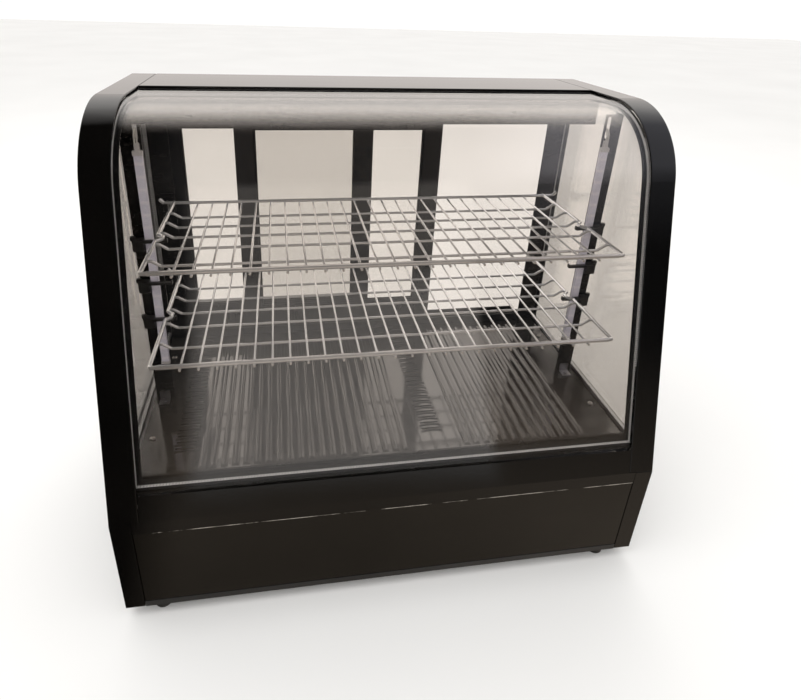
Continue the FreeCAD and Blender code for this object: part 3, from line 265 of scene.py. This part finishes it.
def spacer_metal(g):
    """Mill-finish bar with breather holes on the sides that face the cavity, black sealant on the others."""
    x, y, z = g.axes(g.add("TexCoord", out="Object"))
    nx, ny, nz = g.axes(g.add("NewGeometry", out="Normal"))
    up_the_glass = g.math("ADD", g.product(ny, math.sin(LEAN)), g.product(nz, math.cos(LEAN)))
    low = g.math("LESS_THAN", z, SPACER_MIDDLE_Z)
    sideways = g.math("GREATER_THAN", g.math("ABSOLUTE", nx), 0.7)
    upwards = g.product(low, g.math("GREATER_THAN", up_the_glass, 0.7))
    forwards = g.product(g.math("SUBTRACT", 1.0, low), g.math("LESS_THAN", ny, -0.7))
    bare = g.math("MAXIMUM", sideways, g.math("MAXIMUM", upwards, forwards))
    side = g.math("GREATER_THAN", g.math("ABSOLUTE", x), SPACER_SIDE_X)
    along_side = g.product(side, g.math("ADD", y, z))
    along_front = g.product(g.math("SUBTRACT", 1.0, side), x)
    along = g.math("ADD", along_side, along_front)
    wave = g.math("SINE", g.product(along, 2.0 * math.pi / HOLE_PITCH))
    hole = g.spread(wave, 0.55, 0.85)
    grain = g.noise(260.0, 4.0)
    bar = g.mix(g.spread(grain, 0.3, 0.7), (0.80, 0.81, 0.83), (0.94, 0.95, 0.96))
    drilled = g.mix(g.product(hole, 0.6), bar, (0.10, 0.10, 0.10))
    color = g.mix(bare, (0.006, 0.006, 0.006), drilled)
    return principled(g, color=color, rough=0.34, metal=g.product(bare, 0.35),
                      normal=g.bump(hole, -0.0003, 0.5))


def rubber(dark, light):
    """Moulded rubber: mottled, with a pale bloom and fine pores."""
    def make(g):
        mottle = g.noise(35.0, 4.0)
        color = g.mix(g.spread(mottle, 0.35, 0.7), dark, light)
        bloom = g.spread(g.noise(700.0, 3.0), 0.6, 0.8, 0.0, 0.25)
        color = g.mix(bloom, color, (0.05, 0.049, 0.048))
        pores = g.bump(g.noise(1500.0, 3.0), 0.00012, 0.5)
        return principled(g, color=color, rough=g.spread(mottle, 0.3, 0.7, 0.55, 0.8), normal=pores)
    return make


def plastic(dark, light, rough, through=0.0):
    """Moulded plastic: fine spark texture, faint flow marks."""
    def make(g):
        flow = g.noise(12.0, 4.0, 0.55, (1.0, 1.0, 0.5))
        color = g.mix(g.spread(flow, 0.35, 0.7), dark, light)
        texture = g.bump(g.noise(900.0, 3.0), 0.00005, 0.5)
        roughness = g.spread(flow, 0.3, 0.7, rough * 0.8, rough * 1.25)
        return principled(g, color=color, rough=roughness, normal=texture, through=through)
    return make


def steel(dark, light, rough, spangle=0.0):
    """Bare or plated steel: drawn or rolled grain, with zinc flowers where asked."""
    def make(g):
        grain = g.noise(220.0, 4.0, 0.55)
        color = g.mix(g.spread(grain, 0.3, 0.7), dark, light)
        if spangle > 0:
            flowers = g.add("TexVoronoi", {"Vector": g.coords(), "Scale": 160.0}, out="Color")
            tone = g.add("RGBToBW", {0: flowers})
            color = g.mix(g.spread(tone, 0.0, 1.0, 0.0, spangle), color, light)
        roughness = g.spread(grain, 0.3, 0.7, rough * 0.75, rough * 1.3)
        return principled(g, color=color, rough=roughness, metal=1.0, normal=g.bump(grain, 0.00005, 0.4))
    return make


def lamp_lens(g):
    """Frosted lens over a row of small diodes."""
    z = g.axes(g.add("TexCoord", out="Object"))[2]
    wave = g.math("SINE", g.product(z, 2.0 * math.pi / DIODE_PITCH))
    diode = g.spread(wave, 0.55, 1.0, 0.0, 0.55)
    frost = g.noise(80.0, 3.0)
    color = g.mix(g.spread(frost, 0.3, 0.7), (0.58, 0.58, 0.70), (0.66, 0.66, 0.78))
    color = g.mix(diode, color, (0.80, 0.79, 0.84))
    return principled(g, color=color, rough=0.35, emit=color, glow=0.10,
                      normal=g.bump(g.noise(900.0, 2.0), 0.00004, 0.4))


def ceramic(g):
    """Glazed terminal block with a fine crackle."""
    crackle = g.noise(120.0, 5.0)
    color = g.mix(g.spread(crackle, 0.4, 0.7), (0.72, 0.69, 0.62), (0.82, 0.80, 0.74))
    return principled(g, color=color, rough=0.3, coat=0.4, normal=g.bump(crackle, 0.0001, 0.3))


LOOKS = {
    "gloss_black_steel": gloss_paint((0.0012, 0.0011, 0.0010), (0.0026, 0.0023, 0.0020), 0.06, 1.46),
    "access_black": panel_with_painted_highlight,
    "inner_black": gloss_paint((0.004, 0.004, 0.0035), (0.008, 0.007, 0.006), 0.22),
    "deck_enamel": deck_paint,
    "base_steel": gloss_paint((0.02, 0.02, 0.02), (0.035, 0.034, 0.033), 0.35),
    "zinc_steel": steel((0.42, 0.42, 0.43), (0.62, 0.62, 0.64), 0.38, spangle=0.6),
    "element_steel": steel((0.20, 0.15, 0.11), (0.34, 0.30, 0.27), 0.42),
    "screw_steel": steel((0.38, 0.36, 0.34), (0.60, 0.58, 0.56), 0.28),
    "chrome_wire": chrome,
    "clear_glass": clear_pane((0.950, 0.934, 0.919)),
    "door_glazing": clear_pane((0.968, 0.963, 0.954)),
    # painted light: a clearer copy of the glass tint that brightens the floor in the case's shadow, seen
    # through the side panes
    "side_glass": clear_pane((0.988, 0.986, 0.981)),
    "glass_border": plastic((0.006, 0.006, 0.006), (0.010, 0.010, 0.010), 0.2),
    "spacer_bar": spacer_metal,
    "black_seal": rubber((0.004, 0.004, 0.004), (0.009, 0.009, 0.009)),
    "foot_rubber": rubber((0.016, 0.016, 0.016), (0.030, 0.029, 0.028)),
    "door_black": plastic((0.008, 0.0075, 0.007), (0.013, 0.012, 0.012), 0.3),
    "track_black": plastic((0.009, 0.009, 0.009), (0.015, 0.015, 0.015), 0.35),
    "clip_black": plastic((0.012, 0.012, 0.012), (0.02, 0.02, 0.019), 0.38),
    "lamp_lens": lamp_lens,
    "lamp_cap": plastic((0.50, 0.50, 0.52), (0.62, 0.62, 0.63), 0.4),
    "fan_black": plastic((0.015, 0.015, 0.015), (0.025, 0.025, 0.025), 0.4),
    "driver_case": plastic((0.60, 0.60, 0.58), (0.72, 0.72, 0.70), 0.4),
    "terminal_ceramic": ceramic,
    "thermostat_body": plastic((0.05, 0.05, 0.05), (0.09, 0.09, 0.09), 0.45),
    "knob_black": plastic((0.012, 0.012, 0.012), (0.022, 0.022, 0.021), 0.34),
    "switch_black": plastic((0.010, 0.010, 0.010), (0.016, 0.016, 0.016), 0.22),
    "rocker_red": plastic((0.36, 0.012, 0.008), (0.50, 0.025, 0.015), 0.16, through=0.25),
    "rocker_green": plastic((0.01, 0.20, 0.05), (0.02, 0.30, 0.08), 0.16, through=0.25),
    "pilot_amber": plastic((0.75, 0.24, 0.02), (0.90, 0.36, 0.04), 0.12, through=0.35),
    "gland_black": plastic((0.014, 0.014, 0.014), (0.024, 0.024, 0.024), 0.42),
    "lead_white": plastic((0.55, 0.55, 0.53), (0.66, 0.66, 0.64), 0.45),
    "mark_white": plastic((0.60, 0.60, 0.58), (0.72, 0.72, 0.70), 0.5),
}
materials = {name: material(name, make) for name, make in LOOKS.items()}


def paint_nodes():
    """Gives each CAD node the look of its slot; the side panes get a clearer tint than the front, which is
    painted light that brightens the shaded floor seen through them.
    """
    slot_of = {part["node"]: part["material_slot"] for part in frame["record"]["subparts"]}
    for name, obj in nodes.items():
        look = "side_glass" if name.startswith("side_glass") else slot_of[name]
        obj.data.materials.clear()
        obj.data.materials.append(materials[look])


def soften(obj, width):
    """Rolled sheet edges and moulded corners: a small bevel on every sharp edge."""
    weld = obj.modifiers.new("weld", "WELD")
    weld.merge_threshold = WELD_GAP
    bevel = obj.modifiers.new("bevel", "BEVEL")
    bevel.width = width
    bevel.segments = 2
    bevel.limit_method = "ANGLE"
    bevel.angle_limit = SHARP_ANGLE
    bevel.use_clamp_overlap = True
    shade = obj.modifiers.new("shade", "WEIGHTED_NORMAL")
    shade.mode = "FACE_AREA"
    shade.keep_sharp = True


paint_nodes()
for width, names in SOFT_EDGES.items():
    for name in names:
        soften(nodes[name], width)


# ---------------------------------------------------------------- detail pieces
def keep(name, work, look, body, covers=()):
    """Turns a bmesh into a piece that rides on a body and may stand for CAD nodes."""
    bmesh.ops.recalc_face_normals(work, faces=work.faces)
    mesh = bpy.data.meshes.new(name)
    work.to_mesh(mesh)
    work.free()
    obj = bpy.data.objects.new(name, mesh)
    bpy.context.scene.collection.objects.link(obj)
    mesh.materials.append(materials[look])
    if covers:
        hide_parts(*covers)
    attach(obj, body)
    return obj


def ring_of(work, place, radius, height, steps):
    """Vertices on a circle about a frame's Z axis."""
    ring = []
    for i in range(steps):
        a = 2.0 * math.pi * i / steps
        ring.append(work.verts.new(place @ Vector((radius * math.cos(a), radius * math.sin(a), height))))
    return ring


def join_rings(work, low, high):
    """A closed band of four-sided faces between two rings."""
    count = len(low)
    for i in range(count):
        j = (i + 1) % count
        work.faces.new((low[i], low[j], high[j], high[i]))


def turned(work, place, outline, cross=0.0, steps=24):
    """A turned shape: outline is (radius, height) from the rim to the crown; cross cuts a driver recess."""
    rings = [ring_of(work, place, radius, height, steps) for radius, height in outline]
    for low, high in zip(rings, rings[1:]):
        join_rings(work, low, high)
    work.faces.new(list(reversed(rings[0])))
    if cross > 0.0:
        cut_cross(work, place, rings[-1], outline[-1][1], cross)
    else:
        work.faces.new(rings[-1])


def cut_cross(work, place, top, height, arm):
    """A tapering cross recess inside the top ring, which has two vertices for each of its twelve corners."""
    half, taper, floor_z = arm * 0.28, 0.6, height - arm * 0.8
    star = [(arm, -half), (arm, half), (half, half), (half, arm), (-half, arm), (-half, half),
            (-arm, half), (-arm, -half), (-half, -half), (-half, -arm), (half, -arm), (half, -half)]
    steps, count = len(top), len(star)
    rim = [work.verts.new(place @ Vector((x, y, height))) for x, y in star]
    floor = [work.verts.new(place @ Vector((x * taper, y * taper, floor_z))) for x, y in star]
    for i in range(count):
        j, before = (i + 1) % count, 2 * i - 1
        work.faces.new((rim[i], rim[j], floor[j], floor[i]))
        work.faces.new((top[before % steps], top[(before + 1) % steps], rim[j], rim[i]))
        work.faces.new((top[(before + 1) % steps], top[(before + 2) % steps], rim[j]))
    work.faces.new(floor)


def facing(point, direction):
    """A frame at point whose Z axis runs along direction."""
    turn = Vector(direction).to_track_quat("Z", "Y").to_matrix().to_4x4()
    return Matrix.Translation(point) @ turn


def panel_screws():
    """Cross-recess pan heads with plain shanks, on the deck and the rear panel."""
    head = [(HEAD_R, LIFT), (HEAD_R, HEAD_H * 0.35), (HEAD_R * 0.88, HEAD_H * 0.75),
            (HEAD_R * 0.62, HEAD_H * 0.96)]
    shank = [(TIP_R, 0.0), (SHANK_R, TIP_L), (SHANK_R, SHANK_L - 0.0001)]
    spots = [((x, y, DECK_TOP_Z), (0, 0, 1)) for x, y in DECK_FRONT_SCREWS + DECK_SIDE_SCREWS]
    spots += [((x, BACK_Y, z), (0, 1, 0)) for x, z in REAR_SCREWS]
    work = bmesh.new()
    for count, (point, way) in enumerate(spots):
        spin = Matrix.Rotation(0.7 * count, 4, "Z")
        turned(work, facing(point, way) @ spin, head, RECESS)
        turned(work, facing(Vector(point) - SHANK_L * Vector(way), way), shank, steps=16)
    keep("cross_screws", work, "screw_steel", "case", ["panel_screws"])


def strip(work, corners, low, high):
    """A closed frame of four mitred bars between two y planes: corners are (x0, x1, z0, z1, width)."""
    x0, x1, z0, z1, width = corners
    loops = []
    for inset, y in ((0.0, low), (width, low), (width * 0.7, high), (0.0, high)):
        outline = [(x0 + inset, z0 + inset), (x1 - inset, z0 + inset),
                   (x1 - inset, z1 - inset), (x0 + inset, z1 - inset)]
        loops.append([work.verts.new((x, y, z)) for x, z in outline])
    for a, b in zip(loops, loops[1:] + loops[:1]):
        join_rings(work, a, b)


def door_gasket(side):
    """Rubber bead round both faces of a door's glass."""
    low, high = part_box("door_glass_" + side)
    middle_y = (low.y + high.y) / 2
    window = (low.x + GLASS_IN_FRAME, high.x - GLASS_IN_FRAME,
              low.z + GLASS_IN_FRAME, high.z - GLASS_IN_FRAME, BEAD_W)
    work = bmesh.new()
    for way in (-1, 1):
        strip(work, window, middle_y + way * BEAD_LOW, middle_y + way * BEAD_HIGH)
    keep("door_gasket_" + side, work, "black_seal", side + "_door")


def tube(work, points, radius, sides=10):
    """A round lead along a smooth path."""
    rings = []
    for i, point in enumerate(points):
        before, after = points[max(i - 1, 0)], points[min(i + 1, len(points) - 1)]
        rings.append(ring_of(work, facing(point, Vector(after) - Vector(before)), radius, 0.0, sides))
    for a, b in zip(rings, rings[1:]):
        join_rings(work, a, b)
    work.faces.new(list(reversed(rings[0])))
    work.faces.new(rings[-1])


def curve_points(ends, count=14):
    """Points on a cubic curve through four control points."""
    out = []
    for i in range(count + 1):
        t = i / count
        weights = ((1 - t) ** 3, 3 * t * (1 - t) ** 2, 3 * t * t * (1 - t), t ** 3)
        out.append(sum((w * Vector(p) for w, p in zip(weights, ends)), Vector()))
    return out


def light_leads():
    """Short twin leads from each light bar's plug through the slot in its upright."""
    work = bmesh.new()
    for side in (-1, 1):
        for way in (-1, 1):
            x = side * (LEAD_X + way * LEAD_GAP / 2)
            tube(work, curve_points([(x, y, z) for y, z in LEAD_ROUTE]), LEAD_R)
    keep("light_leads", work, "lead_white", "case")


def scale_marks():
    """Raised ticks round the thermostat's knob, longer at each quarter."""
    low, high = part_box("thermostat_knob")
    centre = Vector((round((low.x + high.x) / 2, 4), BACK_Y, round((low.z + high.z) / 2, 4)))
    start = round((high.x - low.x) / 2, 4) + TICK_CLEAR
    work = bmesh.new()
    for i in range(TICKS):
        end = start + (TICK_LONG if i % TICKS_PER_QUARTER == 0 else TICK_SHORT)
        place = Matrix.Translation(centre) @ Matrix.Rotation(-math.radians(90.0 + i * TICK_STEP), 4, "Y")
        corners = [(start, -TICK_HALF_W), (end, -TICK_HALF_W), (end, TICK_HALF_W), (start, TICK_HALF_W)]
        foot = [work.verts.new(place @ Vector((x, LIFT, z))) for x, z in corners]
        crown = [work.verts.new(place @ Vector((x, TICK_H, z * TICK_TAPER))) for x, z in corners]
        work.faces.new(foot)
        work.faces.new(list(reversed(crown)))
        join_rings(work, foot, crown)
    keep("scale_marks", work, "mark_white", "case")


panel_screws()
door_gasket("left")
door_gasket("right")
light_leads()
scale_marks()


# ---------------------------------------------------------------- studio
def floor_look(g):
    shade = g.noise(1.2, 3.0)
    color = g.mix(g.spread(shade, 0.3, 0.7), (0.86, 0.855, 0.845), (0.90, 0.895, 0.885))
    return principled(g, color=color, rough=0.75, normal=g.bump(g.noise(220.0, 3.0), 0.0002, 0.2))


def build_floor():
    """A wide sheet of pale paper that gloss doesn't reflect."""
    corners = [(-FLOOR_REACH, -FLOOR_REACH, 0), (FLOOR_REACH, -FLOOR_REACH, 0),
               (FLOOR_REACH, FLOOR_REACH, 0), (-FLOOR_REACH, FLOOR_REACH, 0)]
    mesh = bpy.data.meshes.new("floor")
    mesh.from_pydata(corners, [], [(0, 1, 2, 3)])
    mesh.materials.append(material("floor_paper", floor_look))
    floor = bpy.data.objects.new("floor", mesh)
    bpy.context.scene.collection.objects.link(floor)
    floor.visible_glossy = False


def build_world():
    """Even pale studio; what gloss reflects is bright behind the case and dark in front of it."""
    world = bpy.data.worlds.new("studio")
    bpy.context.scene.world = world
    world.use_nodes = True
    g = Graph(world.node_tree)
    x, y, z = g.axes(g.add("TexCoord", out="Generated"))

    overhead = g.spread(z, 0.25, 0.70)
    behind = g.mix(overhead, (1.06, 0.99, 0.94), (2.00, 1.94, 1.88))

    # in front: a dark room with a warm floor, darker close to the case and at the far left
    floor_side = g.spread(z, -0.10, -0.34)
    ahead = g.mix(floor_side, (0.035, 0.036, 0.040), (0.36, 0.30, 0.24))
    near_floor = g.spread(z, -0.72, -0.80, 1.0, 0.6)
    left_dark = g.spread(x, -0.24, -0.17, 0.05, 1.0)
    ahead = g.mix(g.product(near_floor, left_dark), (0.0, 0.0, 0.0), ahead)

    # a pale card in front, dimmer in its upper part, which veils the middle of the glass
    card_width = g.product(g.spread(x, -0.17, -0.14), g.spread(x, 0.34, 0.32))
    card_height = g.product(g.spread(z, -0.32, -0.29), g.spread(z, 0.04, 0.0, 0.45, 1.0))
    card_top = g.product(g.spread(z, 0.34, 0.24), g.math("LESS_THAN", y, -0.7))
    ahead = g.mix(g.product(card_width, card_height, card_top), ahead, (0.70, 0.68, 0.665))

    # a cool light high on the right
    right_glow = g.product(g.spread(x, 0.33, 0.45), g.spread(z, 0.05, 0.45))
    ahead = g.mix(right_glow, ahead, (0.80, 0.80, 0.88))

    reflected = g.mix(g.spread(y, 0.56, 0.06), behind, ahead)
    glossy = g.add("LightPath", out="Is Glossy Ray")
    seen = g.mix(glossy, (1.0, 0.99, 0.975), reflected)
    shader = g.add("Background", {"Color": seen, "Strength": WORLD_STRENGTH})
    out = world.node_tree.nodes.new("ShaderNodeOutputWorld")
    world.node_tree.links.new(shader, out.inputs["Surface"])


def softbox(name, place, size, power):
    """A soft rectangular lamp aimed at the middle of the case, which gloss doesn't reflect."""
    aim = Vector((0, 0, 0.3))
    lamp = bpy.data.lights.new(name, "AREA")
    lamp.shape = "RECTANGLE"
    lamp.size, lamp.size_y = size
    lamp.energy = power
    obj = bpy.data.objects.new(name, lamp)
    bpy.context.scene.collection.objects.link(obj)
    obj.location = place
    obj.rotation_euler = (aim - Vector(place)).to_track_quat("-Z", "Y").to_euler()
    obj.visible_glossy = False


def build_camera():
    data = bpy.data.cameras.new("camera")
    data.sensor_fit = "HORIZONTAL"
    data.sensor_width = SENSOR_W
    data.lens = LENS
    data.shift_x, data.shift_y = CAMERA_SHIFT
    data.clip_start = 0.01
    camera = bpy.data.objects.new("camera", data)
    bpy.context.scene.collection.objects.link(camera)
    camera.location = CAMERA_PLACE
    camera.rotation_euler = Euler([math.radians(a) for a in CAMERA_TURN], "XYZ")
    bpy.context.scene.camera = camera
    bpy.context.scene.view_settings.view_transform = "Standard"


build_floor()
build_world()
softbox("key_softbox", (-1.2, -0.6, 2.6), (2.0, 1.6), 22.0)
softbox("rear_softbox", (0.8, 2.2, 2.4), (2.4, 1.4), 14.0)
build_camera()
